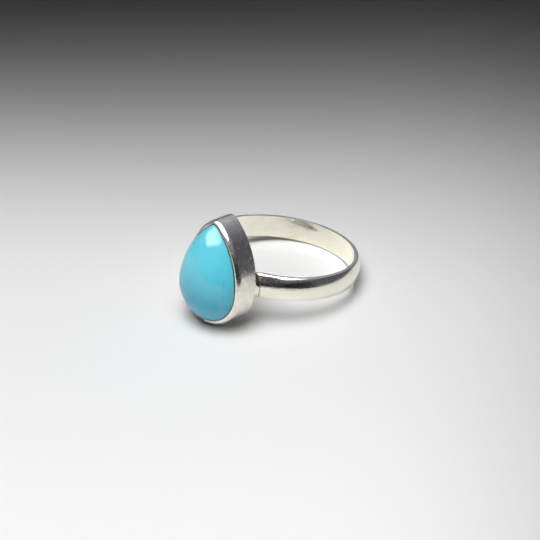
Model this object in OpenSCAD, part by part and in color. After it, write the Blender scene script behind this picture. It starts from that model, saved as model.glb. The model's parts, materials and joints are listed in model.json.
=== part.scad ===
/* [Band] */
// Radius of the finger hole
finger_radius = 8.65; // [7:0.05:11]
// Width of the band along the finger
band_width = 2.6; // [2:0.1:4]
// Thickness of the band at its two edges
band_edge = 0.42; // [0.3:0.02:0.6]
// Thickness of the band at the crown of its outside
band_crown = 0.78; // [0.7:0.02:1.2]

/* [Setting] */
// Half the setting's width, and the radius of its round end
round_radius = 4.55; // [4:0.05:5.5]
// Radius of the two long sides
side_radius = 9.7; // [8.5:0.1:12]
// Radius of the narrow end
tip_radius = 1.1; // [0.9:0.05:1.4]
// How far the round end's centre lies below the middle of the band
round_drop = 0.65; // [0:0.05:1.5]
// Height of the setting from its back to its rim
setting_height = 2.95; // [2.6:0.05:3.6]
// Height at which the wall starts to turn in over the stone
shoulder_height = 2.35; // [2:0.05:2.5]
// How far the wall leans in by the time it reaches the shoulder
wall_lean = 0.06; // [0:0.01:0.12]
// Thickness of the bezel wall
wall_thickness = 0.5; // [0.4:0.02:0.6]
// Thickness of the back plate
plate_thickness = 0.5; // [0.4:0.05:0.8]

/* [Stone] */
// Height of the stone's dome above the rim
dome_height = 2.25; // [1:0.05:3]
// How much rounder the narrow end becomes towards the top of the dome
tip_softening = 3.2; // [1:0.1:4]
// Gap between the stone and the silver
seat_gap = 0.05; // [0.03:0.01:0.08]

/* [Hidden] */

// Clearance between the finger hole and the back plate
plate_clearance = 0.05;
plate_at = finger_radius + plate_clearance;
rim_at = plate_at + setting_height;
shoulder_at = plate_at + shoulder_height;
floor_at = plate_at + plate_thickness;

// Overhang of the rim past the wall's inside, its flat lip, and the rings of points in its turn
rim_overhang = 0.05;
rim_reach = wall_thickness + rim_overhang;
lip_width = 0.08;
rim_steps = 4;

// The stone's straight side ends this far below the rim, where its dome begins
girdle_below_rim = 0.45;
girdle_at = rim_at - girdle_below_rim;
dome_depth = dome_height + girdle_below_rim;
stone_inset = wall_thickness + seat_gap;
base_chamfer = 0.15;

// Rings of points up the dome, whose last one lies this many degrees round from the girdle
dome_rings = 12;
dome_top_angle = 88;

// Points in each arc of the pear outline
round_points = 32;
side_points = 16;
tip_points = 8;
reach = side_radius - round_radius;

// Facets in a preview circle, and how far a cutting shape runs past the face that it cuts
circle_facets = 144;
clear = 1;

// Radius of the domed outside across the band's width
crown_rise = band_crown - band_edge;
crown_radius = (pow(band_width / 2, 2) + pow(crown_rise, 2)) / (2 * crown_rise);
band_outer = finger_radius + band_crown;

// Solder that stands a little proud of the band beside the back plate: it starts just inside the
// setting's widest point, ends at an angle round the band and stops short of the band's two edges
solder_proud = 0.12;
solder_setback = 0.15;
solder_band_angle = 30;
solder_margin = 0.15;
solder_sink = 0.04;
solder_plate_span = round_radius - solder_setback;
solder_height = band_width - 2 * solder_margin;

// The ring lies on the round end's back edge and on the band's far edge, so the two set its tilt
low_edge = -round_drop - round_radius;
rest_tilt = atan((-band_width / 2 - low_edge) / (finger_radius + band_edge + plate_at));
lift = -(sin(rest_tilt) * plate_at + cos(rest_tilt) * low_edge);

// The tilted ring's furthest points in front and behind, which centre it on the origin
stone_low = round_radius - stone_inset + round_drop;
front_end = -cos(rest_tilt) * girdle_at
    - sqrt(pow(cos(rest_tilt) * dome_depth, 2) + pow(sin(rest_tilt) * stone_low, 2));
rear_end = cos(rest_tilt) * (band_outer - crown_radius) + crown_radius;
centring = -(front_end + rear_end) / 2;

// Points of an arc about [x, z], without its last one
function arc(centre, radius, from, to, count) =
    [for (i = [0:count - 1]) let (a = from + (to - from) * i / count)
        [centre[0] + radius * cos(a), centre[1] + radius * sin(a)]];

// Pear outline in x and z, set in by a constant distance from one whose narrow end has the radius tip
function pear(inset, tip = tip_radius) =
    let (
        tip_centre = sqrt(pow(side_radius - tip, 2) - pow(reach, 2)) - round_drop,
        turn = atan2(tip_centre + round_drop, reach)
    )
    concat(
        arc([0, -round_drop], round_radius - inset, 180, 360, round_points),
        arc([-reach, -round_drop], side_radius - inset, 0, turn, side_points),
        arc([0, tip_centre], tip - inset, turn, 180 - turn, tip_points),
        arc([reach, -round_drop], side_radius - inset, 180 - turn, 180, side_points)
    );

// An outline placed at a distance in front of the finger hole's axis
function at(distance, outline) = [for (p = outline) [p[0], -distance, p[1]]];

// The dome's ring at an angle up from the girdle
function dome_ring(a) =
    let (outline = pear(stone_inset, tip_radius + tip_softening * (1 - cos(a))))
    at(girdle_at + dome_depth * sin(a), cos(a) * outline);

// A point of the plan at a distance and an angle from the finger hole's axis, 0 being the front
function round_plan(radius, angle) = [radius * sin(angle), -radius * cos(angle)];

// A closed solid through rings of points, the first ring at the back
module loft(rings) {
    n = len(rings[0]);
    last = len(rings) - 1;
    back = [for (i = [0:n - 1]) i];
    front = [for (i = [n - 1:-1:0]) last * n + i];
    sides = [for (j = [0:last - 1], i = [0:n - 1]) let (k = (i + 1) % n)
        [j * n + i, (j + 1) * n + i, (j + 1) * n + k, j * n + k]];
    polyhedron([for (r = rings, p = r) p], concat([back, front], sides), convexity = 4);
}

// A disc whose edge has the band's domed outside, grown outwards by a distance
module domed_disc(grown = 0) {
    rotate_extrude($fn = circle_facets)
        intersection() {
            translate([0, -band_width / 2]) square([band_outer + grown, band_width]);
            union() {
                translate([0, -band_width / 2]) square([finger_radius, band_width]);
                translate([band_outer + grown - crown_radius, 0]) circle(crown_radius, $fn = circle_facets);
            }
        }
}

// The setting's outside: a straight wall, then a rounded turn over the stone
module setting_blank() {
    turn_in = rim_reach - lip_width - wall_lean;
    turn_up = setting_height - shoulder_height;
    loft(concat(
        [at(plate_at, pear(0)), at(shoulder_at, pear(wall_lean))],
        [for (i = [1:rim_steps]) let (a = 90 * i / rim_steps)
            at(shoulder_at + turn_up * sin(a), pear(wall_lean + turn_in * (1 - cos(a))))]
    ));
}

// The seat for the stone, open at the rim
module seat() {
    loft([
        at(floor_at, pear(wall_thickness)),
        at(girdle_at, pear(wall_thickness)),
        at(rim_at, pear(rim_reach)),
        at(rim_at + clear, pear(rim_reach))
    ]);
}

// Solder that fills the corners between the band's two shoulders and the back plate
module solder() {
    plate_corner = [solder_plate_span, -plate_at - plate_thickness / 2];
    plate_edge = [solder_plate_span, -plate_at];
    band_corner = round_plan(band_outer - solder_sink, solder_band_angle);
    intersection() {
        translate([0, 0, -solder_height / 2])
            linear_extrude(solder_height)
                for (side = [0, 1])
                    mirror([side, 0])
                        polygon([[0, 0], plate_corner, plate_edge, band_corner]);
        domed_disc(solder_proud);
    }
}

module at_rest() {
    translate([0, centring, lift]) rotate([-rest_tilt, 0, 0]) children();
}

module silver_band_and_setting() {
    color("silver")
        at_rest()
            difference() {
                union() {
                    domed_disc();
                    setting_blank();
                    solder();
                }
                cylinder(r = finger_radius, h = 2 * band_width, center = true, $fn = circle_facets);
                seat();
            }
}

module turquoise_cabochon() {
    base = floor_at + seat_gap;
    color("turquoise")
        at_rest()
            loft(concat(
                [
                    at(base, pear(stone_inset + base_chamfer)),
                    at(base + base_chamfer, pear(stone_inset))
                ],
                [for (i = [0:dome_rings]) dome_ring(dome_top_angle * i / dome_rings)]
            ));
}

silver_band_and_setting();
turquoise_cabochon();
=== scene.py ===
import json
import math
from functools import partial
import bmesh
import bpy
import numpy as np
from mathutils import Matrix, Vector


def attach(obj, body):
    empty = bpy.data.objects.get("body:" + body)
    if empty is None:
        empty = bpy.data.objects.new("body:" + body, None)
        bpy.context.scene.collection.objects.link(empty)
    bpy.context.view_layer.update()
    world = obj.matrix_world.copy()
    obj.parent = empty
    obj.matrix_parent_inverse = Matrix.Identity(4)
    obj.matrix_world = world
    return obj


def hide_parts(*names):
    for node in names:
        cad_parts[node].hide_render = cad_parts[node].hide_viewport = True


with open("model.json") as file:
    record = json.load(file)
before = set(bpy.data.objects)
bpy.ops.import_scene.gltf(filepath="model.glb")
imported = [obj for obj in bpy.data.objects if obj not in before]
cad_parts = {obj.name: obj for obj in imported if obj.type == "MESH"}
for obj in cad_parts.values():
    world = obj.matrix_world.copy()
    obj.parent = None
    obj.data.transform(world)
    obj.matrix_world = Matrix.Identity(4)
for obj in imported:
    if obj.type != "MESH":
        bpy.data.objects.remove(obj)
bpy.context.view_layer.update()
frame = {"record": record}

mount = next(m for m in frame["record"]["mounts"] if m["name"] == "finger_hole")
holeCentre = Vector(mount["pos_m"])
holeAxis = Vector(mount["axis"]).normalized()
lean = math.atan2(holeAxis.y, holeAxis.z)

# The ring is drawn in millimetres about its finger hole, which stands along Z, with the stone towards -Y
placeRing = Matrix.Translation(holeCentre) @ Matrix.Rotation(-lean, 4, "X") @ Matrix.Scale(0.001, 4)


def linkNew(name, data):
    obj = bpy.data.objects.new(name, data)
    bpy.context.scene.collection.objects.link(obj)
    return obj


def wayTo(azimuth, elevation):
    # Direction to a place seen from the ring, in degrees; azimuth 0 is in front of it
    a, e = math.radians(azimuth), math.radians(elevation)
    return Vector((math.sin(a) * math.cos(e), -math.cos(a) * math.cos(e), math.sin(e)))


cameraSizes = {
    "azimuth": 43.241,
    "elevation": 33.111,
    "roll": 2.054,
    "distance": 0.3,          # metres from the finger hole's centre
    "pictureSide": 540,       # pixels
    "focalPixels": 2638.6,
    "holePixel": (277.705, 256.557),   # where the finger hole's centre falls in the picture
    "film": 36,
    "clip": (0.01, 20),
}


def makeCamera(sizes):
    azimuth, roll = math.radians(sizes["azimuth"]), math.radians(sizes["roll"])
    back = wayTo(sizes["azimuth"], sizes["elevation"])
    level = Vector((math.cos(azimuth), math.sin(azimuth), 0))
    upright = back.cross(level)
    right = math.cos(roll) * level - math.sin(roll) * upright
    up = math.sin(roll) * level + math.cos(roll) * upright
    data = bpy.data.cameras.new("photoCamera")
    data.sensor_width = sizes["film"]
    data.lens = sizes["focalPixels"] * sizes["film"] / sizes["pictureSide"]
    data.clip_start, data.clip_end = sizes["clip"]
    camera = linkNew("photoCamera", data)
    across, down = (pixel - sizes["pictureSide"] / 2 for pixel in sizes["holePixel"])
    offset = (right * across - up * down) * sizes["distance"] / sizes["focalPixels"]
    turn = Matrix((right, up, back)).transposed().to_4x4()
    camera.matrix_world = Matrix.Translation(holeCentre + back * sizes["distance"] - offset) @ turn
    bpy.context.scene.camera = camera


makeCamera(cameraSizes)
print("camera ready")


def addNode(tree, kind, inputs=None, **settings):
    # Adds a node with its inputs and settings, and gives its outputs
    node = tree.nodes.new(kind)
    count = len(tree.nodes) - 1
    node.location = (count % 10 * 190, count // 10 * -260)   # rows of ten
    for name, value in settings.items():
        setattr(node, name, value)
    for name, value in (inputs or {}).items():
        if isinstance(value, bpy.types.NodeSocket):
            tree.links.new(value, node.inputs[name])
        else:
            node.inputs[name].default_value = value
    return node.outputs


def addMath(tree, operation, a, b=0.0, clamp=False):
    return addNode(tree, "ShaderNodeMath", {0: a, 1: b}, operation=operation, use_clamp=clamp)[0]


sweepInputs = {
    "Edge Rounding": "Float", "Rounding Points": "Int", "Section Points": "Int",
    "Unevenness": "Float", "Unevenness Scale": "Float", "Seed": "Float", "Material": "Material",
}


def newTree(name, *lengths):
    # A swept shape takes its own lengths as inputs, and after them what each swept shape takes
    tree = bpy.data.node_groups.new(name, "GeometryNodeTree")
    tree.is_modifier = True
    inputs = {"Geometry": "Geometry", **{length: "Float" for length in lengths}, **sweepInputs}
    for label, kind in inputs.items():
        tree.interface.new_socket(label, in_out="INPUT", socket_type="NodeSocket" + kind)
    tree.interface.new_socket("Geometry", in_out="OUTPUT", socket_type="NodeSocketGeometry")
    given = addNode(tree, "NodeGroupInput")
    return tree, given, [given[length] for length in lengths]


def endTree(tree, mesh, given):
    # Moves points by a smooth noise, as hand filing leaves the metal
    noise = addNode(tree, "ShaderNodeTexNoise", {
        "W": given["Seed"], "Scale": given["Unevenness Scale"], "Detail": 1.0,
    }, noise_dimensions="4D")["Color"]
    noise = addNode(tree, "ShaderNodeVectorMath", {0: noise, 1: (0.5, 0.5, 0.5)}, operation="SUBTRACT")[0]
    noise = addNode(tree, "ShaderNodeVectorMath", {0: noise, "Scale": given["Unevenness"]},
                    operation="SCALE")[0]
    mesh = addNode(tree, "GeometryNodeSetPosition", {"Geometry": mesh, "Offset": noise})[0]
    mesh = addNode(tree, "GeometryNodeRealizeInstances", {0: mesh})[0]
    mesh = addNode(tree, "GeometryNodeSetMaterial", {"Geometry": mesh, "Material": given["Material"]})[0]
    addNode(tree, "NodeGroupOutput", {0: mesh})
    return tree


def addPathAndSection(tree, given, width, height):
    # The path as a curve, and the rounded rectangle that is swept along it
    path = addNode(tree, "GeometryNodeMeshToCurve", {"Mesh": given["Geometry"]})[0]
    path = addNode(tree, "GeometryNodeSetCurveNormal", {"Curve": path}, mode="Z_UP")[0]
    section = addNode(tree, "GeometryNodeCurvePrimitiveQuadrilateral", {"Width": width, "Height": height})[0]
    section = addNode(tree, "GeometryNodeFilletCurve", {
        "Curve": section, "Count": given["Rounding Points"], "Radius": given["Edge Rounding"],
    }, mode="POLY")[0]
    section = addNode(tree, "GeometryNodeResampleCurve", {"Curve": section, "Count": given["Section Points"]},
                      mode="COUNT")[0]
    return path, section


def addPosition(tree):
    position = addNode(tree, "GeometryNodeInputPosition")[0]
    return addNode(tree, "ShaderNodeSeparateXYZ", {0: position})


def evaluated(obj, name):
    # A plain mesh of the object as its modifiers leave it
    graph = bpy.context.evaluated_depsgraph_get()
    mesh = bpy.data.meshes.new_from_object(obj.evaluated_get(graph), preserve_all_data_layers=True,
                                           depsgraph=graph)
    mesh.name = name
    return mesh


def runTree(path, tree, sizes, material, name):
    # Each input is set by its identifier, from the size of the same name: Wall Lean takes wallLean
    obj = linkNew(name + "Path", path)
    modifier = obj.modifiers.new(tree.name, "NODES")
    modifier.node_group = tree
    values = {**sizes, "material": material}
    for item in tree.interface.items_tree:
        key = item.name[0].lower() + item.name[1:].replace(" ", "")
        if item.in_out == "INPUT" and key in values:
            modifier[item.identifier] = values[key]
    mesh = evaluated(obj, name)
    bpy.data.objects.remove(obj)
    return mesh


def closedPath(points, name):
    mesh = bpy.data.meshes.new(name)
    count = len(points)
    mesh.from_pydata([tuple(p) for p in points], [(i, (i + 1) % count) for i in range(count)], [])
    return mesh


def readPoints(mesh, layer="co"):
    values = np.empty(len(mesh.vertices) * 3)
    mesh.vertices.foreach_get(layer, values)
    return values.reshape(-1, 3)


def writePoints(mesh, points):
    mesh.vertices.foreach_set("co", np.asarray(points, float).ravel())
    mesh.update()


def smoothStep(values, low, high):
    # Rises from 0 to 1 between two places, or falls where the first lies above the second
    t = np.clip((values - low) / (high - low), 0, 1)
    return t * t * (3 - 2 * t)


def window(*parts):
    # Product of smooth steps, each one values and the two places that it runs between
    total = 1.0
    for values, (low, high) in parts:
        total = total * smoothStep(values, low, high)
    return total


def smoothNoise(points, scale, seed):
    # A sum of a few sine waves in fixed random directions, about -1 to 1
    rng = np.random.default_rng(seed)
    total = np.zeros(len(points))
    for _ in range(9):
        direction = rng.normal(size=3)
        total += np.sin(points @ direction * scale + rng.uniform(0, 2 * math.pi))
    return total / 4


def polar(points):
    # Distance from the finger hole's axis, and degrees round it from the front, positive towards +X
    x, y = points[:, 0], points[:, 1]
    return np.hypot(x, y), np.degrees(np.arctan2(x, -y))


# The setting is drawn lying on a bench: its back at 0, its rim upwards, and the stone's tip along +Y
cupSizes = {
    "backAt": 8.7,            # from the finger hole's axis to the back plate
    "roundRadius": 4.55,
    "sideRadius": 9.7,
    "tipRadius": 1.1,
    "roundDrop": 0.65,        # of the round end's centre below the band's middle
    "arcLengths": (7.1, 9, 2.4),   # rough lengths of half the round end, one side and the tip
    "pointSpacing": 0.115,
    "height": 2.95,
    "shoulder": 2.35,
    "wallLean": 0.06,
    "wall": 0.5,
    "overhang": 0.05,
    "lip": 0.08,
    "girdleBelowRim": 0.45,
    "plate": 0.5,
    "plateRecess": 0.004,
    "edgeRounding": 0.09,
    "roundingPoints": 5,
    "sectionPoints": 84,
    "unevenness": 0.02,
    "unevennessScale": 0.28,  # waves to the millimetre
    "seed": 11.0,
}
benchToRing = Matrix(((1, 0, 0, 0), (0, 0, -1, -cupSizes["backAt"]), (0, 1, 0, 0), (0, 0, 0, 1)))


def pearArcs(tip):
    # The outline is four arcs that meet without a corner: how far in the sides' centres lie, how far up
    # the tip's centre lies, and the angle at which side and tip meet
    side, drop = cupSizes["sideRadius"], cupSizes["roundDrop"]
    reach = side - cupSizes["roundRadius"]
    tipAt = math.sqrt((side - tip) ** 2 - reach ** 2) - drop
    return reach, tipAt, math.atan2(tipAt + drop, reach)


def arcPoints(centre, radius, start, end, count):
    angles = np.radians(start + (end - start) * np.arange(count) / count)
    return np.stack([centre[0] + radius * np.cos(angles), centre[1] + radius * np.sin(angles)], 1)


def pearOutline(inset, tip=cupSizes["tipRadius"], spacing=cupSizes["pointSpacing"]):
    # Points of the outline, set in by a distance, anticlockwise from the bottom of its round end
    a, side, drop = cupSizes["roundRadius"], cupSizes["sideRadius"], cupSizes["roundDrop"]
    reach, tipAt, turn = pearArcs(tip)
    turn = math.degrees(turn)
    roundCount, sideCount, tipCount = (int(length / spacing) for length in cupSizes["arcLengths"])
    return np.vstack([
        arcPoints((0, -drop), a - inset, 270, 360, roundCount),
        arcPoints((-reach, -drop), side - inset, 0, turn, sideCount),
        arcPoints((0, tipAt), tip - inset, turn, 180 - turn, tipCount),
        arcPoints((reach, -drop), side - inset, 180 - turn, 180, sideCount),
        arcPoints((0, -drop), a - inset, 180, 270, roundCount),
    ])


def pearDistance(x, y):
    # Signed distance from the outline of the setting, negative inside
    a, side, drop, tip = (cupSizes[k] for k in ("roundRadius", "sideRadius", "roundDrop", "tipRadius"))
    reach, tipAt, turn = pearArcs(tip)
    x = np.abs(x)
    onTip = np.arctan2(y + drop, x + reach) > turn
    upper = np.where(onTip, np.hypot(x, y - tipAt) - tip, np.hypot(x + reach, y + drop) - side)
    return np.where(y < -drop, np.hypot(x, y + drop) - a, upper)


def cupTree():
    tree, given, (height, shoulder, leanIn, wall, overhang, lip, rimDepth) = newTree(
        "sweptBezel", "Height", "Shoulder", "Wall Lean", "Wall", "Overhang", "Lip", "Girdle Below Rim")
    calc = partial(addMath, tree)
    path, section = addPathAndSection(tree, given, wall, height)
    place = addPosition(tree)
    # outerness runs from 0 on the wall's inside to 1 on its outside, and level from the back to the rim
    outerness = calc("ADD", calc("DIVIDE", place["X"], wall), 0.5)
    level = calc("ADD", place["Y"], calc("DIVIDE", height, 2.0))
    turnUp = calc("SUBTRACT", height, shoulder)
    turned = calc("DIVIDE", calc("SUBTRACT", level, shoulder), turnUp, clamp=True)
    angle = calc("MULTIPLY", turned, math.pi / 2)
    reach = calc("ADD", wall, overhang)
    turnIn = calc("SUBTRACT", calc("SUBTRACT", reach, lip), leanIn)
    rounded = calc("MULTIPLY", turnUp, calc("SINE", angle))
    top = calc("ADD", calc("MINIMUM", level, shoulder), rounded)
    leaned = calc("MULTIPLY", calc("DIVIDE", level, shoulder, clamp=True), leanIn)
    curled = calc("MULTIPLY", turnIn, calc("SUBTRACT", 1.0, calc("COSINE", angle)))
    outside = calc("ADD", leaned, curled)
    girdle = calc("SUBTRACT", height, rimDepth)
    closing = calc("DIVIDE", calc("SUBTRACT", top, girdle), rimDepth, clamp=True)
    inside = calc("ADD", wall, calc("MULTIPLY", closing, overhang))
    inset = calc("ADD", inside, calc("MULTIPLY", outerness, calc("SUBTRACT", outside, inside)))
    moved = addNode(tree, "ShaderNodeCombineXYZ", {
        "X": calc("MULTIPLY", inset, -1.0), "Y": calc("MULTIPLY", top, -1.0)})[0]
    section = addNode(tree, "GeometryNodeSetPosition", {"Geometry": section, "Position": moved})[0]
    mesh = addNode(tree, "GeometryNodeCurveToMesh", {"Curve": path, "Profile Curve": section})[0]
    return endTree(tree, mesh, given)


pressSizes = {
    # how far the top of the wall is pushed in over the stone's left side
    "depth": 0.26,
    # where that fades in and out: up the setting, to its left, in from the outline and up the wall
    "fadeIn": (0.3, 2.9),
    "fadeOut": (5.8, 3.8),
    "left": (0.0, -0.9),
    "inset": (0.55, 0.25),
    "level": (0.8, 2.6),
    "slopeStep": 0.01,
}


def pressRim(mesh, sizes):
    points = readPoints(mesh)
    x, y, level = points.T
    inset = -pearDistance(x, y)
    amount = sizes["depth"] * window((y, sizes["fadeIn"]), (y, sizes["fadeOut"]), (x, sizes["left"]),
                                     (inset, sizes["inset"]), (level, sizes["level"]))
    step = sizes["slopeStep"]
    for axis, (dx, dy) in enumerate(((step, 0), (0, step))):
        slope = (pearDistance(x + dx, y + dy) - pearDistance(x - dx, y - dy)) / (2 * step)
        points[:, axis] -= amount * slope
    writePoints(mesh, points)


def plateMesh(sizes):
    # Back plate, its outline under the middle of the wall
    outline = pearOutline(sizes["wall"] / 2)
    count = len(outline)
    points = [(x, y, z) for z in (sizes["plateRecess"], sizes["plate"]) for x, y in outline]
    sides = [(i, (i + 1) % count, count + (i + 1) % count, count + i) for i in range(count)]
    mesh = bpy.data.meshes.new("plate")
    mesh.from_pydata(points, [], [tuple(range(count))[::-1], tuple(range(count, 2 * count))] + sides)
    return mesh


def wallMesh(sizes, material):
    outline = pearOutline(0)
    path = closedPath(np.column_stack([outline, 0 * outline[:, 0]]), "cupPath")
    mesh = runTree(path, cupTree(), sizes, material, "wall")
    pressRim(mesh, pressSizes)
    return mesh


bandSizes = {
    "fingerRadius": mount["dims"]["r_mm"],
    "width": mount["dims"]["length_mm"],
    "edgeThickness": 0.42,
    "crownThickness": 0.78,   # in the middle of the outside
    "edgeRounding": 0.03,
    "roundingPoints": 6,
    "sectionPoints": 104,
    "coarseStep": 0.8,        # degrees between sections round the band
    "fineStep": 0.2,          # the same beside the solder
    "fineAngles": (21, 34),
    "unevenness": 0.012,
    "unevennessScale": 0.3,
    "seed": 3.0,
}


def bandTree():
    tree, given, (width, edge, crown, finger) = newTree(
        "sweptBand", "Width", "Edge Thickness", "Crown Thickness", "Finger Radius")
    calc = partial(addMath, tree)
    path, section = addPathAndSection(tree, given, edge, width)
    mesh = addNode(tree, "GeometryNodeCurveToMesh", {"Curve": path, "Profile Curve": section})[0]
    # The outside is domed by an arc that runs through the crown and the two edges
    place = addPosition(tree)
    flat = addNode(tree, "ShaderNodeCombineXYZ", {"X": place["X"], "Y": place["Y"]})[0]
    outward = addNode(tree, "ShaderNodeVectorMath", {0: flat}, operation="NORMALIZE")[0]
    radius = addNode(tree, "ShaderNodeVectorMath", {0: flat}, operation="LENGTH")["Value"]
    outerness = calc("DIVIDE", calc("SUBTRACT", radius, finger), edge, clamp=True)
    rise = calc("SUBTRACT", crown, edge)
    squares = calc("ADD", calc("POWER", calc("DIVIDE", width, 2.0), 2.0), calc("POWER", rise, 2.0))
    arcRadius = calc("DIVIDE", squares, calc("MULTIPLY", rise, 2.0))
    heightSquared = calc("SUBTRACT", calc("POWER", arcRadius, 2.0), calc("POWER", place["Z"], 2.0))
    bulge = calc("SUBTRACT", calc("SQRT", heightSquared), calc("SUBTRACT", arcRadius, rise))
    push = addNode(tree, "ShaderNodeVectorMath", {0: outward, "Scale": calc("MULTIPLY", bulge, outerness)},
                   operation="SCALE")[0]
    mesh = addNode(tree, "GeometryNodeSetPosition", {"Geometry": mesh, "Offset": push})[0]
    return endTree(tree, mesh, given)


def bandPath(sizes):
    # Sections stand closer together beside the solder, on both sides of the front
    angles = np.linspace(-180, 180, 7201)   # every 0.05 degrees
    first, last = sizes["fineAngles"]
    fine = (np.abs(angles) > first) & (np.abs(angles) < last)
    density = np.where(fine, 1 / sizes["fineStep"], 1 / sizes["coarseStep"])
    running = np.concatenate([[0], np.cumsum((density[1:] + density[:-1]) / 2 * np.diff(angles))])
    count = int(round(running[-1]))
    picked = np.radians(np.interp(np.arange(count) * running[-1] / count, running, angles))
    radius = sizes["fingerRadius"] + sizes["edgeThickness"] / 2
    points = np.stack([radius * np.sin(picked), -radius * np.cos(picked), 0 * picked], 1)
    return closedPath(points, "bandPath")


wearSizes = {
    # the +X arm is wider towards the setting, and its upper edge is worn round above a height
    "widerAngles": (14, 30, 45, 57, 80, 120),
    "widerBy": (0.0, 0.27, 0.175, 0.11, 0.085, 0.0),
    "widerHeights": (0.2, 1.3),
    "wornFrom": 1.15,
    "wornCurve": 0.5,
    # beside the solder the outside runs straight from one height to another, and turns sharply past it
    "straightAngles": (47, 33),
    "straightHeights": (0.85, 1.38),
    "straightCurve": 3.0,
    # a shallow worn spot on the inside of the other arm, with the heights of its lower edge at two angles
    "spotAngles": (-172, -146),
    "spotHeights": (0.55, 1.12),
    "spotFadeIn": (-177, -163),
    "spotFadeOut": (-142, -164),
    "spotDepth": 0.1,
    "spotSoftness": 0.3,
    "spotThrough": (0.3, 0.1),   # how deep in the metal it ends
}


def bandOuterAt(z, straight=0.0):
    # Radius of the band's outside at a height: a domed arc that falls off faster past the worn height
    crown, half = bandSizes["crownThickness"], bandSizes["width"] / 2
    rise = crown - bandSizes["edgeThickness"]
    arcRadius = (half ** 2 + rise ** 2) / (2 * rise)
    centre = bandSizes["fingerRadius"] + crown - arcRadius
    worn = centre + np.sqrt(arcRadius ** 2 - z ** 2)
    worn = worn - wearSizes["wornCurve"] * np.maximum(z - wearSizes["wornFrom"], 0) ** 2
    start, end = wearSizes["straightHeights"]
    slope = start / math.sqrt(arcRadius ** 2 - start ** 2)
    flat = centre + np.sqrt(arcRadius ** 2 - np.minimum(z, start) ** 2) - slope * np.maximum(z - start, 0)
    flat = flat - wearSizes["straightCurve"] * np.maximum(z - end, 0) ** 2
    return worn + straight * (flat - worn)


def wearBand(mesh, sizes):
    # Widens one arm upwards, slides its outside along the dome, and sinks the worn spot
    points = readPoints(mesh)
    z = points[:, 2].copy()
    radius, angle = polar(points)
    finger, half = bandSizes["fingerRadius"], bandSizes["width"] / 2
    outerness = (radius - finger) / (bandOuterAt(np.clip(z, -half, half)) - finger)
    wider = np.interp(angle, sizes["widerAngles"], sizes["widerBy"])
    points[:, 2] = z + wider * smoothStep(z, *sizes["widerHeights"])
    outside = bandOuterAt(points[:, 2], smoothStep(angle, *sizes["straightAngles"]))
    worn = np.where(angle > sizes["widerAngles"][0], finger + outerness * (outside - finger), radius)
    across = z - np.interp(angle, sizes["spotAngles"], sizes["spotHeights"])
    soft = sizes["spotSoftness"]
    spot = window((angle, sizes["spotFadeIn"]), (angle, sizes["spotFadeOut"]),
                  (radius - finger, sizes["spotThrough"]), (across, (-soft, soft)))
    worn = worn + sizes["spotDepth"] * spot
    points[:, :2] *= (worn / radius)[:, None]
    writePoints(mesh, points)


solderSizes = {
    "seamAngle": 29.5,        # where the solder ends on the band, in degrees from the front
    # the seam's middle, and how far it runs back towards the front at 1.1 mm above and below that
    "seamMiddle": -0.2,
    "seamBend": (3.3, 1.2),
    "seamBendAt": 1.1,
    "seamTop": 1.4,           # no more bend further up than this
    "seamWander": (0.04, 2.2, 8),      # how far, how finely and with which seed the seam wanders
    "wallSetback": 0.02,
    "wallLevel": 0.28,        # the solder meets the wall this far in front of the back plate
    "keepInside": 9.0,        # the band's front is cut back to this, within the back plate
    "groove": 0.018,          # depth and half width of the line at the seam
    "grooveWidth": 0.05,
    "upperHeights": (0.1, 0.9),        # further up than this the line is wider and shallower
    "upperShallower": 0.4,
    "facing": (0.1, 0.6),     # how much a face has to face outwards to take the groove
    "lumps": (0.006, 4.5, 5),          # height, fineness and seed of the lumps beside the seam
    "lumpsWithin": 2.5,       # degrees
    "fillet": 0.28,           # radius of the solder between the band's edges and the back plate
    "filletFrom": 1.0,
}


def seamAt(z):
    # The seam's angle at a height on the band: it bows away from the setting
    s = solderSizes
    upper, lower = s["seamBend"]
    above, below = np.clip(z - s["seamMiddle"], 0, s["seamTop"]), np.minimum(z - s["seamMiddle"], 0)
    return s["seamAngle"] - upper * (above / s["seamBendAt"]) ** 2 - lower * (below / s["seamBendAt"]) ** 2


def fromSeam(points):
    # Millimetres past the seam, away from the setting
    radius, angle = polar(points)
    amount, scale, seed = solderSizes["seamWander"]
    along = np.radians(np.abs(angle) - seamAt(points[:, 2])) * radius
    return along + amount * smoothNoise(points, scale, seed)


def crossed(a, b):
    return a[:, 0] * b[:, 1] - a[:, 1] * b[:, 0]


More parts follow.
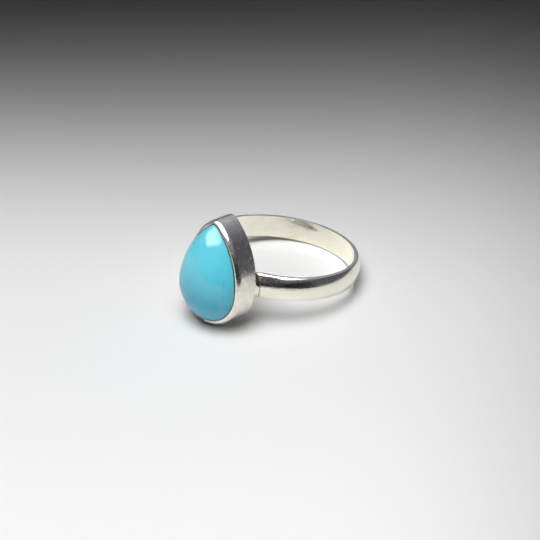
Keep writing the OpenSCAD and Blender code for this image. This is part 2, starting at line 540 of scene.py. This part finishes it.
def addSolder(mesh, sizes):
    # Solder on the band runs from the seam out to the setting's wall, and rounds the corners on the plate
    points = readPoints(mesh)
    x, z = points[:, 0], points[:, 2]
    radius, angle = polar(points)
    angle = np.abs(angle)
    outward = points[:, :2] / radius[:, None]
    facing = (readPoints(mesh, "normal")[:, :2] * outward).sum(1)
    seamAngle = seamAt(z)
    seam = np.radians(seamAngle)
    finger, outer = bandSizes["fingerRadius"], bandOuterAt(z, x > 0)
    start = np.stack([outer * np.sin(seam), -outer * np.cos(seam)], 1)
    # half width of the setting at this height, from its distance function
    wide = np.zeros(len(z))
    for _ in range(30):
        wide -= pearDistance(wide, z)
    wallAt = np.full(len(z), -cupSizes["backAt"] - sizes["wallLevel"])
    end = np.stack([wide - sizes["wallSetback"], wallAt], 1)
    ray = np.stack([np.sin(np.radians(angle)), -np.cos(np.radians(angle))], 1)
    line = crossed(start, end - start) / crossed(ray, end - start)
    line = np.minimum(line, sizes["keepInside"] / np.maximum(-ray[:, 1], 0.1))
    outerness = np.clip((radius - finger) / (outer - finger), 0, 1)
    lumpHeight, lumpScale, seed = sizes["lumps"]
    lumps = lumpHeight * smoothNoise(points, lumpScale, seed)
    lumps *= np.exp(-((angle - seamAngle) / sizes["lumpsWithin"]) ** 2)
    grow = (np.where(angle < seamAngle, np.maximum(line - outer, 0), 0) + lumps) * outerness
    upper = smoothStep(z, *sizes["upperHeights"])
    groove = np.exp(-(fromSeam(points) / (sizes["grooveWidth"] * (1 + upper))) ** 2)
    groove *= sizes["groove"] * (1 - sizes["upperShallower"] * upper)
    grow -= groove * smoothStep(facing, *sizes["facing"])
    moved = points.copy()
    moved[:, :2] += outward * grow[:, None]
    toPlate = np.clip(moved[:, 1] + cupSizes["backAt"], 0, None)
    free = np.clip(sizes["fillet"] - toPlate, 0, sizes["fillet"])
    rise = sizes["fillet"] - np.sqrt(np.maximum(sizes["fillet"] ** 2 - free ** 2, 0))
    moved[:, 2] += np.sign(z) * rise * smoothStep(np.abs(z), sizes["filletFrom"], bandSizes["width"] / 2)
    moved[:, 1] = np.maximum(moved[:, 1], -sizes["keepInside"])
    writePoints(mesh, moved)


def faceOutwards(mesh):
    work = bmesh.new()
    work.from_mesh(mesh)
    bmesh.ops.recalc_face_normals(work, faces=work.faces)
    if work.calc_volume(signed=True) < 0:
        bmesh.ops.reverse_faces(work, faces=work.faces)
    openEdges = sum(1 for e in work.edges if len(e.link_faces) != 2)
    volume = round(work.calc_volume(), 3)
    print("  ", mesh.name, len(work.faces), "faces,", openEdges, "open edges, volume", volume)
    work.to_mesh(mesh)
    work.free()


def bandMesh(sizes, material):
    mesh = runTree(bandPath(sizes), bandTree(), sizes, material, "band")
    wearBand(mesh, wearSizes)
    faceOutwards(mesh)
    addSolder(mesh, solderSizes)
    return mesh


def joinSolids(meshes, name):
    for mesh in meshes:
        faceOutwards(mesh)
    objects = [linkNew(mesh.name, mesh) for mesh in meshes]
    base = objects[0]
    for other in objects[1:]:
        modifier = base.modifiers.new("union", "BOOLEAN")
        modifier.operation, modifier.solver, modifier.object = "UNION", "MANIFOLD", other
    joined = evaluated(base, name)
    for obj in objects:
        bpy.data.objects.remove(obj)
    faceOutwards(joined)
    return joined


def silverMesh(materials):
    # The parts keep the same two slots through the union: 0 for the band and 1 for the setting
    band = bandMesh(bandSizes, materials[0])
    wall = wallMesh(cupSizes, materials[1])
    plate = plateMesh(cupSizes)
    for mesh in (wall, plate):
        mesh.transform(benchToRing)
    for mesh, slot in ((wall, 1), (plate, 1), (band, 0)):
        mesh.materials.clear()
        for material in materials:
            mesh.materials.append(material)
        mesh.polygons.foreach_set("material_index", [slot] * len(mesh.polygons))
    return joinSolids([wall, plate, band], "silverRing")


stoneSizes = {
    "gap": 0.05,
    "dome": 2.25,             # above the rim
    "tipSoftening": 2.0,      # how much rounder the tip is at the top of the dome
    "fullness": (1.2, 0.86),  # powers that shape the dome across and upwards, 1 and 1 being an ellipse
    "apexShift": 0.3,         # how far the top of the dome lies towards the tip
    "chamfer": 0.15,
    "girdleRings": 12,
    "rings": 120,
    "pointSpacing": 0.075,
}


def stoneMesh(sizes, material):
    # Rings of the pear outline: a chamfered base, a straight girdle, and a dome whose tip grows rounder
    inset = cupSizes["wall"] + sizes["gap"]
    base = cupSizes["plate"] + sizes["gap"]
    low = base + sizes["chamfer"]
    girdle = cupSizes["height"] - cupSizes["girdleBelowRim"]
    depth = sizes["dome"] + cupSizes["girdleBelowRim"]
    spacing = sizes["pointSpacing"]
    rings = [(pearOutline(inset + sizes["chamfer"], spacing=spacing), base)]
    for level in np.linspace(low, girdle, sizes["girdleRings"])[:-1]:
        rings.append((pearOutline(inset, spacing=spacing), level))
    across, upwards = sizes["fullness"]
    for turn in np.radians(np.linspace(0, 90, sizes["rings"] + 1)[:-1]):
        shrink = math.cos(turn) ** across
        tip = cupSizes["tipRadius"] + sizes["tipSoftening"] * (1 - shrink)
        outline = shrink * pearOutline(inset, tip, spacing) + np.array([0, sizes["apexShift"] * (1 - shrink)])
        rings.append((outline, girdle + depth * math.sin(turn) ** upwards))
    count, last = len(rings[0][0]), len(rings) - 1
    ends = [(0, 1, base), (0, sizes["apexShift"], girdle + depth)]
    layers = [np.column_stack([outline, np.full(count, level)]) for outline, level in rings]
    points = np.vstack([*layers, ends])
    faces = []
    for i in range(count):
        after = (i + 1) % count
        for k in range(0, last * count, count):
            faces.append((k + i, k + after, k + count + after, k + count + i))
        faces.append((after, i, (last + 1) * count))
        faces.append((last * count + i, last * count + after, (last + 1) * count + 1))
    mesh = bpy.data.meshes.new("turquoiseCabochon")
    mesh.from_pydata(points.tolist(), [], faces)
    mesh.transform(benchToRing)
    mesh.materials.append(material)
    faceOutwards(mesh)
    return mesh


def writeAttribute(mesh, name, values, kind="FLOAT", domain="POINT"):
    attribute = mesh.attributes.new(name, kind, domain)
    field = "vector" if kind == "FLOAT_VECTOR" else "value"
    attribute.data.foreach_set(field, np.asarray(values, np.float32).ravel())


def nearestAlong(places, spacing=0.1, batch=4000):
    # Length round the setting's outline, from the bottom of its round end, to the point nearest each place
    outline = pearOutline(0, spacing=spacing)
    ahead = np.roll(outline, -1, 0) - outline
    step = np.linalg.norm(ahead, axis=1)
    running = np.concatenate([[0], np.cumsum(step)[:-1]])
    along = np.empty(len(places))
    for first in range(0, len(places), batch):
        part = places[first:first + batch]
        near = ((part[:, None] - outline) ** 2).sum(2).argmin(1)
        slide = ((part - outline[near]) * ahead[near]).sum(1) / step[near]
        along[first:first + batch] = running[near] + slide
    return along


silverMarks = {
    "insetAlong": 0.6,        # how much of the way in from the outline counts as across the wall's strokes
    # dirt at the seam, which widens above into painted dark reflection over the solder: where it lies in the
    # band's thickness, then its half width below and above, its shift above, how dark it is, and the heights
    # between which it widens
    "seamThrough": ((8.85, 9.0), (9.75, 9.6)),
    "seamWidths": (0.04, 0.14),
    "seamShift": 0.03,
    "seamDarkness": (0.7, 1.0),
    "seamHeights": (0.0, 0.5),
    "nick": (79, -1.22),      # a nick's angle and height, and its half lengths in degrees and millimetres
    "nickSize": (0.4375, 0.06),
    # painted dark reflection on the rim, left of the tip and along the lower left, standing in for the dark
    # it
    # reflects there: darkness, then where it fades in, across the setting, along it and up the wall
    "tarnish": (
        (0.6, (0.3, -0.1), (6.2, 6.8), (2.4, 2.7)),
        (0.95, (0.9, -0.3), (-1.6, -3.2), (1.0, 1.6)),
    ),
    # the band's outside is worn grainy beside the setting: angles, radius, and its lower and upper limits
    "wearAngles": (75, 45),
    "wearThrough": (8.8, 9.0),
    "wearHeights": ((0.04, 0.22), (1.35, 1.15)),
    # in from the outline and up the wall, for the painted shade inside the rim beside the stone and for the
    # burnished rim itself
    "recess": ((0.47, 0.56), (0.6, 1.0)),
    "rim": ((0.0, 0.12), (2.3, 2.55)),
}


def markSilver(mesh, sizes):
    # grain: millimetres along and across the polishing strokes, which run round the band and round the wall
    points = readPoints(mesh)
    x, y, z = points.T
    level, inset = -y - cupSizes["backAt"], -pearDistance(x, z)
    corners = np.empty(len(mesh.loops), np.int32)
    mesh.loops.foreach_get("vertex_index", corners)
    counts, slots = np.empty(len(mesh.polygons), np.int32), np.empty(len(mesh.polygons), np.int32)
    mesh.polygons.foreach_get("loop_total", counts)
    mesh.polygons.foreach_get("material_index", slots)
    onWall = np.repeat(slots == 1, counts)[:, None]
    band = np.column_stack([np.arctan2(x, y) * bandSizes["fingerRadius"], z, np.hypot(x, y)])
    wall = np.column_stack([nearestAlong(points[:, [0, 2]]), level - sizes["insetAlong"] * inset, inset])
    writeAttribute(mesh, "grain", np.where(onWall, wall[corners], band[corners]), "FLOAT_VECTOR", "CORNER")
    radius, angle = polar(points)
    # higher up the seam's dirt line widens and darkens into painted dark reflection over the solder
    upper = smoothStep(z, *sizes["seamHeights"])
    width, darkness = (np.interp(upper, (0, 1), sizes[k]) for k in ("seamWidths", "seamDarkness"))
    seam = darkness * np.exp(-((fromSeam(points) - sizes["seamShift"] * upper) / width) ** 4)
    seam *= window(*((radius, limits) for limits in sizes["seamThrough"]))
    (nickAngle, nickHeight), (nickLength, nickDepth) = sizes["nick"], sizes["nickSize"]
    nick = np.exp(-((angle - nickAngle) / nickLength) ** 2 - ((z - nickHeight) / nickDepth) ** 2)
    # painted dark reflection on the rim, left of the tip and along the lower left
    tarnish = sum(dark * window((x, across), (z, along), (level, up))
                  for dark, across, along, up in sizes["tarnish"])
    # the seam attribute carries the joint's dirt, the nick and the painted dark reflection on the rim
    writeAttribute(mesh, "seam", np.maximum(np.maximum(seam, nick), tarnish))
    lowest, highest = sizes["wearHeights"]
    writeAttribute(mesh, "wear", window((np.abs(angle), sizes["wearAngles"]), (radius, sizes["wearThrough"]),
                                        (z, lowest), (z, highest)))
    # painted shade on the inside of the wall, seen in the gap by the stone, and the burnished rim
    for name in ("recess", "rim"):
        inwards, up = sizes[name]
        writeAttribute(mesh, name, window((inset, inwards), (level, up)))


stoneMarks = {
    # veins as lines on the stone's plan, with their half width and how dark they are
    "veins": (
        (((3.23, 1.27), (3.21, 0.58), (3.24, -0.12), (3.28, -0.84), (3.29, -1.75), (3.2, -2.2)), 0.04, 0.8),
        (((2.95, 2.6), (3.18, 1.94), (3.23, 1.27)), 0.05, 0.2),
        (((2.42, -0.4), (2.42, -1.41), (2.22, -2.82)), 0.045, 0.4),
        (((3.21, 0.58), (2.85, 0.1), (2.6, -0.7)), 0.04, 0.2),
        (((-1.4, -2.2), (-0.9, -2.9), (0.2, -3.4), (0.5, -4.2)), 0.05, 0.3),
        (((-3.2, 1.6), (-2.7, 0.6), (-2.75, -0.6), (-2.2, -1.5)), 0.05, 0.4),
    ),
    # they wander by a coarse and a fine amount: how far, then fineness and seed across and along the stone
    "wander": ((0.05, (3.1, 21), (2.6, 22)), (0.028, (8.0, 23), (7.0, 24))),
    "patchiness": (0.6, 0.4, 4.0),     # mean darkness, its change and its fineness
    "faintest": 0.15,
    "veinLevels": (1.5, 2.5),
    "grimeAbove": (0.14, 0.02),        # painted shade in the gap fades out between these heights above the rim
    "grimeWander": (0.02, 4.0, 31),
}


def distanceToLine(points, line):
    nearest = np.full(len(points), np.inf)
    for start, end in zip(line[:-1], line[1:]):
        start, step = np.array(start), np.array(end) - np.array(start)
        t = np.clip((points - start) @ step / (step @ step), 0, 1)
        nearest = np.minimum(nearest, np.linalg.norm(points - start - t[:, None] * step, axis=1))
    return nearest


def markStone(mesh, sizes):
    # plan: millimetres across and along the stone, and up from the setting's back
    points = readPoints(mesh)
    plan = np.column_stack([points[:, 0], points[:, 2], -points[:, 1] - cupSizes["backAt"]])
    level = plan[:, 2]
    writeAttribute(mesh, "plan", plan, "FLOAT_VECTOR")
    place = plan[:, :2].copy()
    for amount, *waves in sizes["wander"]:
        place += amount * np.column_stack([smoothNoise(plan, *wave) for wave in waves])
    mean, change, scale = sizes["patchiness"]
    vein = np.zeros(len(plan))
    for line, width, depth in sizes["veins"]:
        patchy = np.clip(mean + change * smoothNoise(plan, scale, int(width * 1000)), sizes["faintest"], 1)
        vein = np.maximum(vein, depth * patchy * np.exp(-(distanceToLine(place, line) / width) ** 2))
    writeAttribute(mesh, "vein", vein * smoothStep(level, *sizes["veinLevels"]))
    # painted shade on the stone in the gap below the rim
    amount, scale, seed = sizes["grimeWander"]
    aboveRim = level + amount * smoothNoise(plan, scale, seed) - cupSizes["height"]
    writeAttribute(mesh, "grime", smoothStep(aboveRim, *sizes["grimeAbove"]))


def newMaterial(name, settings):
    # The settings are the shader's values that are the same all over
    material = bpy.data.materials.new(name)
    material.use_nodes = True
    shader = material.node_tree.nodes["Principled BSDF"]
    for socket, value in settings.items():
        shader.inputs[socket].default_value = value
    return material, material.node_tree, shader


def addNoise(tree, where, size, turn=0.0, detail=2.0):
    # Noise whose features have a size in millimetres along the pattern, across it and through it
    placed = addNode(tree, "ShaderNodeMapping", {
        "Vector": where, "Rotation": (0, 0, math.radians(turn)), "Scale": size}, vector_type="TEXTURE")[0]
    return addNode(tree, "ShaderNodeTexNoise", {"Vector": placed, "Scale": 1.0, "Detail": detail})[0]


def addRange(tree, value, low, high, toLow=0.0, toHigh=1.0):
    return addNode(tree, "ShaderNodeMapRange", {"Value": value, "From Min": low, "From Max": high,
                                                "To Min": toLow, "To Max": toHigh})[0]


def addMix(tree, factor, a, b):
    return addNode(tree, "ShaderNodeMix", {0: factor, 6: a, 7: b}, data_type="RGBA")[2]


def addRead(tree, name, output="Fac"):
    return addNode(tree, "ShaderNodeAttribute", attribute_name=name)[output]


def addSum(tree, *parts):
    # Adds up pairs of a value and its weight
    total = None
    for value, weight in parts:
        scaled = addMath(tree, "MULTIPLY", value, weight)
        total = scaled if total is None else addMath(tree, "ADD", total, scaled)
    return total


def finishSurface(tree, shader, color, roughness, height):
    # The height is in millimetres
    bump = addNode(tree, "ShaderNodeBump", {"Strength": 1.0, "Distance": 0.001, "Height": height})[0]
    for socket, value in (("Base Color", color), ("Roughness", roughness), ("Normal", bump)):
        tree.links.new(value, shader.inputs[socket])


# Heights of the marks are in millimetres; speckles and scuffs are dark, and say how dark
bandFinish = {
    "silver": (0.935, 0.905, 0.8, 1), "dull": (0.86, 0.825, 0.69, 1), "dirt": (0.12, 0.085, 0.06, 1),
    "roughness": 0.08, "rimRoughness": 0.08, "roughnessChange": 0.08,
    "strokes": 0.0012, "wideStrokes": 0.0012, "ripple": 0.003, "rippleNoise": ((0.12, 0.09, 0.12), 20, 3.0),
    "scratches": 0.002, "pits": 0.006, "speckles": 0.7, "scuffs": 0.03,
}
bezelFinish = {
    "silver": (0.9, 0.88, 0.8, 1), "dull": (0.79, 0.765, 0.67, 1), "dirt": (0.1, 0.08, 0.065, 1),
    "roughness": 0.13, "rimRoughness": 0.12, "roughnessChange": 0.1,
    "strokes": 0.0048, "wideStrokes": 0.008, "ripple": 0.01, "rippleNoise": ((0.42, 0.2, 0.3), 20, 3.0),
    "scratches": 0.006, "pits": 0.003, "speckles": 0.1, "scuffs": 0.16,
}
# Noise behind each mark: size along, across and through, turn in degrees, and detail
silverNoise = {
    "strokes": ((1.6, 0.07, 0.4), 3, 3.0),
    "wideStrokes": ((1.8, 0.17, 0.5), -8, 2.0),
    "smears": ((1.9, 0.9, 0.9), 15, 3.0),
    "scratches": ((1.7, 0.11, 0.5), 33, 1.0),
    "crossScratches": ((1.3, 0.1, 0.5), -48, 1.0),
    "pits": ((0.13, 0.11, 0.2), 0, 1.0),
    "speckles": ((0.17, 0.12, 0.15), 10, 3.0),
    "scuffs": ((0.9, 0.09, 0.3), 40, 3.0),
}
# Noise levels between which a mark grows from none to full
markLevels = {
    "scratches": (0.6, 0.7), "crossScratches": (0.62, 0.72), "pits": (0.66, 0.78),
    "speckles": (0.46, 0.56), "scuffs": (0.42, 0.66),
}
# How strongly a mark acts, where both finishes agree
markShares = {
    "rippleElsewhere": 0.12,  # away from the worn stretch
    "pitsElsewhere": 0.25,    # away from the seam
    "rimHeight": 0.25,        # the rim is burnished smoother than the wall
    "smearRoughness": (0.35, 0.7), "smearColor": (0.3, 0.72),
    "scratches": 0.08, "seam": 0.25, "recess": 0.3, "speckles": 0.04,   # added to the roughness
    "crust": (0.95, 0.2),     # darkness of the seam's dirt and painted rim shade, beside a pit and in it
    "pitDarkness": 0.3,
}


def silverMaterial(name, finish, shares):
    material, tree, shader = newMaterial(name, {"Metallic": 1.0})
    calc = partial(addMath, tree)
    grain = addRead(tree, "grain", "Vector")
    # the attributes read here hold the joint's dirt, painted dark reflection on the rim and painted shade
    # inside the rim, besides the burnished rim and the wear
    seam, recess, rim, wear = (addRead(tree, part) for part in ("seam", "recess", "rim", "wear"))
    noise = {mark: addNoise(tree, grain, *values) for mark, values in silverNoise.items()}
    marks = {mark: addRange(tree, noise[mark], *levels) for mark, levels in markLevels.items()}
    scratches = calc("MAXIMUM", marks["scratches"], marks["crossScratches"])
    speckles = calc("MULTIPLY", marks["speckles"], wear)
    ripple = calc("MULTIPLY", addNoise(tree, grain, *finish["rippleNoise"]),
                  addRange(tree, wear, 0.0, 1.0, shares["rippleElsewhere"], 1.0))
    pits = calc("MULTIPLY", marks["pits"], calc("ADD", seam, shares["pitsElsewhere"]))
    height = addSum(tree, (noise["strokes"], finish["strokes"]),
                    (noise["wideStrokes"], finish["wideStrokes"]), (ripple, finish["ripple"]),
                    (scratches, -finish["scratches"]), (pits, -finish["pits"]))
    height = calc("MULTIPLY", height, addRange(tree, rim, 0.0, 1.0, 1.0, shares["rimHeight"]))
    plain = addRange(tree, rim, 0.0, 1.0, finish["roughness"], finish["rimRoughness"])
    smeared = addRange(tree, noise["smears"], *shares["smearRoughness"], 0.0, finish["roughnessChange"])
    roughness = addSum(tree, (plain, 1.0), (smeared, 1.0), (scratches, shares["scratches"]),
                       (seam, shares["seam"]), (recess, shares["recess"]), (speckles, shares["speckles"]))
    dulled = addRange(tree, noise["smears"], *shares["smearColor"])
    metal = addMix(tree, dulled, finish["silver"], finish["dull"])
    # the seam's dark mix: dirt in the joint and at the nick, painted dark reflection on the rim and over the
    # solder
    crust = calc("MULTIPLY", seam, addRange(tree, marks["pits"], 0.0, 1.0, *shares["crust"]))
    flecks = addSum(tree, (marks["pits"], shares["pitDarkness"]), (speckles, finish["speckles"]),
                    (marks["scuffs"], finish["scuffs"]))
    # dark colour from dirt, pits, specks and scuffs, with painted shade inside the rim and painted dark
    # reflection on it
    dirt = calc("ADD", calc("MAXIMUM", crust, recess), flecks, clamp=True)
    finishSurface(tree, shader, addMix(tree, dirt, metal, finish["dirt"]), roughness, height)
    return material


stoneFinish = {
    # upper and lower are the stone's colour painted lit above and shaded below
    "upper": (0.145, 0.75, 0.92, 1), "lower": (0.0, 0.4, 0.6, 1), "pale": (0.09, 0.57, 0.74, 1),
    "vein": (0.1, 0.25, 0.22, 1), "fleck": (0.12, 0.36, 0.4, 1), "grime": (0.09, 0.085, 0.07, 1),
    "shadeAlong": (-1.9, 2.4),    # painted shade: the stone turns from its darker lower colour to its lighter upper colour between these places
    "cloudiness": 0.5, "paleShare": 0.3, "fleckShare": 0.25,
    "roughness": (0.07, 0.13), "veinRoughness": 0.3,
    # heights in millimetres
    "mottles": 0.005, "clouds": 0.02, "veins": -0.012, "specks": -0.002,
    "shader": {"IOR": 1.65, "Specular IOR Level": 0.7, "Specular Tint": (1, 0.84, 0.76, 1)},
}
stoneNoise = {
    "clouds": ((3.4, 3.0, 3.0), 30, 2.0),
    "mottles": ((0.9, 0.7, 0.8), 0, 4.0),
    "specks": ((0.22, 0.2, 0.2), 0, 2.0),
}
stoneLevels = {"pale": (0.45, 0.8), "rough": (0.3, 0.7), "specks": (0.66, 0.8)}


def stoneMaterial(name, finish, levels):
    material, tree, shader = newMaterial(name, finish["shader"])
    plan = addRead(tree, "plan", "Vector")
    vein = addRead(tree, "vein")
    along = addNode(tree, "ShaderNodeSeparateXYZ", {0: plan})["Y"]
    clouds, mottles, specks = (addNoise(tree, plan, *values) for values in stoneNoise.values())
    specks = addRange(tree, specks, *levels["specks"])
    cloudy = addMath(tree, "MULTIPLY", addMath(tree, "SUBTRACT", clouds, 0.5), finish["cloudiness"])
    # painted light and shade: lighter towards the top of the stone, darker below, broken up by random clouds
    paintedShadeAndClouds = addMath(tree, "ADD", addRange(tree, along, *finish["shadeAlong"]), cloudy, clamp=True)
    color = addMix(tree, paintedShadeAndClouds, finish["lower"], finish["upper"])
    pale = addRange(tree, mottles, *levels["pale"], 0.0, finish["paleShare"])
    color = addMix(tree, pale, color, finish["pale"])
    color = addMix(tree, addMath(tree, "MULTIPLY", specks, finish["fleckShare"]), color, finish["fleck"])
    color = addMix(tree, vein, color, finish["vein"])
    # painted shade on the stone in the gap at the rim
    color = addMix(tree, addRead(tree, "grime"), color, finish["grime"])
    roughness = addSum(tree, (addRange(tree, mottles, *levels["rough"], *finish["roughness"]), 1.0),
                       (vein, finish["veinRoughness"]))
    height = addSum(tree, (mottles, finish["mottles"]), (clouds, finish["clouds"]), (vein, finish["veins"]),
                    (specks, finish["specks"]))
    finishSurface(tree, shader, color, roughness, height)
    return material


silverFinishes = [silverMaterial("bandSilver", bandFinish, markShares),
                  silverMaterial("bezelSilver", bezelFinish, markShares)]
turquoise = stoneMaterial("turquoise", stoneFinish, stoneLevels)
print("finishes ready")

silver = silverMesh(silverFinishes)
stone = stoneMesh(stoneSizes, turquoise)
markSilver(silver, silverMarks)
markStone(stone, stoneMarks)
print("silver", len(silver.polygons), "faces, stone", len(stone.polygons), "faces")


def placePiece(mesh, name, node):
    mesh.transform(placeRing)
    mesh.shade_smooth()
    obj = linkNew(name, mesh)
    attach(obj, "root")
    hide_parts(node)


placePiece(silver, "silverRing", "silver_band_and_setting")
placePiece(stone, "turquoiseCabochon", "turquoise_cabochon")
silver.set_sharp_from_angle(angle=math.radians(40))
print("pieces placed")

lightSizes = {
    # two overhead panels, square to the camera, light the floor; lengths in metres from the ring. A grid on
    # them keeps the floor behind the ring and to its right dark.
    "height": 0.051,
    "gridSpread": 60,         # degrees
    "leftEdge": -0.2, "rightEdge": 0.0375, "frontEdge": -0.185,
    "panels": {"overheadPanel": (0.0165, 0.1535), "fillPanel": (-0.037, 0.0203)},   # rear edge and watts
    "leanBack": 14, "leanRight": 5.5, "turn": -5,
    # what the ring reflects, given by azimuth and elevation seen from it
    "softboxDistance": 0.4,
    "softboxMiddle": (30, 70),
    # corners and the glow at each one, which fades on the side away from the camera
    "softbox": (
        (-21, 26.5, 5), (-4, 27.5, 5), (12, 36.5, 4.6), (48, 46.5, 4), (85, 49.5, 3.8), (106, 50, 2.6),
        (126, 52, 1.6), (136, 57, 1.2), (142, 66, 1.4), (170, 80, 1.8), (-112, 66, 1.6), (-88, 56, 1.6),
        (-74, 48, 1.7), (-67, 36, 1.9), (-65, 27, 2.4), (-55, 24, 3.4),
    ),
    # the room round the softbox, brighter towards it: an azimuth, then the glow at each elevation
    "roomDistance": 0.47,
    "roomElevations": (0, 10, 20, 32, 50, 74),
    "room": (
        (-10, 0.5, 0.22, 0.08, 0.18, 0.3, 0.3),
        (10, 0.04, 0.05, 0.09, 0.2, 0.3, 0.3),
        (60, 0.02, 0.02, 0.035, 0.19, 0.3, 0.3),
        (110, 0.035, 0.04, 0.06, 0.21, 0.3, 0.3),
        (144, 0.04, 0.06, 0.1, 0.2, 0.36, 0.35),
        (154, 0.05, 0.07, 0.11, 0.2, 0.4, 0.35),
        (164, 0.06, 0.1, 0.2, 0.5, 0.48, 0.35),
        (186, 0.08, 0.16, 0.36, 0.56, 0.5, 0.35),
        (210, 0.18, 0.3, 0.46, 0.5, 0.45, 0.35),
        (222, 0.25, 0.3, 0.32, 0.35, 0.4, 0.35),
        (240, 0.2, 0.24, 0.26, 0.26, 0.28, 0.3),
        (260, 0.45, 0.45, 0.4, 0.3, 0.3, 0.3),
        (300, 0.45, 0.42, 0.36, 0.26, 0.25, 0.3),
        (325, 0.55, 0.35, 0.27, 0.2, 0.25, 0.3),
        (350, 0.5, 0.22, 0.08, 0.18, 0.3, 0.3),
    ),
    # dark cards beside the ring, on its right: near and far end, height, and glow at the floor and above
    "cardRight": 0.031,
    "cardFoot": 0.0025,
    "farCard": (-0.028, 0.09, 0.02, 0.3, 0.1),
    "nearCard": (-0.16, -0.028, 0.012, 0.05, 0.05),
    "tint": (0.91, 0.93, 1.13),
    "world": (0.037, 0.039, 0.047),
}
squareToCamera = Matrix.Rotation(math.radians(cameraSizes["azimuth"]), 4, "Z")


def addOverhead(name, sizes):
    # It lights the floor, but isn't seen in the silver
    rearEdge, energy = sizes["panels"][name]
    data = bpy.data.lights.new(name, "AREA")
    data.shape = "RECTANGLE"
    data.size = sizes["rightEdge"] - sizes["leftEdge"]
    data.size_y = rearEdge - sizes["frontEdge"]
    data.energy = energy
    data.spread = math.radians(sizes["gridSpread"])
    across, along = (sizes["rightEdge"] + sizes["leftEdge"]) / 2, (rearEdge + sizes["frontEdge"]) / 2
    turn = Matrix.Rotation(math.radians(sizes["turn"]), 4, "Z")
    tilt = (Matrix.Rotation(math.radians(sizes["leanBack"]), 4, "X")
            @ Matrix.Rotation(math.radians(-sizes["leanRight"]), 4, "Y"))
    panel = linkNew(name, data)
    panel.matrix_world = squareToCamera @ turn @ Matrix.Translation((across, along, sizes["height"])) @ tilt
    panel.visible_glossy = panel.visible_camera = False


def addReflected(name, points, faces, glow, tint=(1, 1, 1)):
    # Glowing panels that are seen only in reflections, with a glow for each point
    mesh = bpy.data.meshes.new(name)
    mesh.from_pydata([tuple(p) for p in points], [], faces)
    writeAttribute(mesh, "glow", glow)
    material = bpy.data.materials.new(name)
    material.use_nodes = True
    tree = material.node_tree
    tree.nodes.clear()
    light = addNode(tree, "ShaderNodeEmission", {"Color": (*tint, 1), "Strength": addRead(tree, "glow")})[0]
    addNode(tree, "ShaderNodeOutputMaterial", {"Surface": light})
    mesh.materials.append(material)
    panel = linkNew(name, mesh)
    panel.visible_camera = panel.visible_diffuse = panel.visible_shadow = False


def addSoftbox(sizes):
    corners, distance = sizes["softbox"], sizes["softboxDistance"]
    count = len(corners)
    places = [sizes["softboxMiddle"], *(corner[:2] for corner in corners)]
    points = [wayTo(*place) * distance for place in places]
    glow = [corners[0][2]] + [corner[2] for corner in corners]
    addReflected("softbox", points, [(0, i + 1, (i + 1) % count + 1) for i in range(count)], glow)


def addRoom(sizes):
    rows, columns = len(sizes["roomElevations"]), len(sizes["room"])
    points = [wayTo(column[0], elevation) * sizes["roomDistance"]
              for column in sizes["room"] for elevation in sizes["roomElevations"]]
    faces = [(i * rows + j, (i + 1) * rows + j, (i + 1) * rows + j + 1, i * rows + j + 1)
             for i in range(columns - 1) for j in range(rows - 1)]
    glow = [value for column in sizes["room"] for value in column[1:]]
    addReflected("room", points, faces, glow, sizes["tint"])


def addCard(name, sizes):
    near, far, height, low, high = sizes[name]
    heights = (0, sizes["cardFoot"], height)
    corners = [(sizes["cardRight"], along, up) for up in heights for along in (near, far)]
    addReflected(name, [squareToCamera @ Vector(corner) for corner in corners], [(0, 1, 3, 2), (2, 3, 5, 4)],
                 (low, low, high, high, high, high), sizes["tint"])


def addWorld(color):
    world = bpy.data.worlds.new("studio")
    world.use_nodes = True
    world.node_tree.nodes["Background"].inputs["Color"].default_value = (*color, 1)
    world.cycles_visibility.diffuse = False
    bpy.context.scene.world = world


paper = {"Base Color": (0.8, 0.8, 0.805, 1), "Roughness": 0.9, "Specular IOR Level": 0.2}


def addFloor(half, finish):
    mesh = bpy.data.meshes.new("floor")
    corners = [(-half, -half, 0), (half, -half, 0), (half, half, 0), (-half, half, 0)]
    mesh.from_pydata(corners, [], [(0, 1, 2, 3)])
    mesh.materials.append(newMaterial("floorPaper", finish)[0])
    linkNew("floor", mesh)


for panelName in lightSizes["panels"]:
    addOverhead(panelName, lightSizes)
addSoftbox(lightSizes)
addRoom(lightSizes)
addCard("farCard", lightSizes)
addCard("nearCard", lightSizes)
addWorld(lightSizes["world"])
addFloor(2, paper)   # metres from its middle to each side
bpy.context.scene.view_settings.view_transform = "Standard"
print("scene ready")
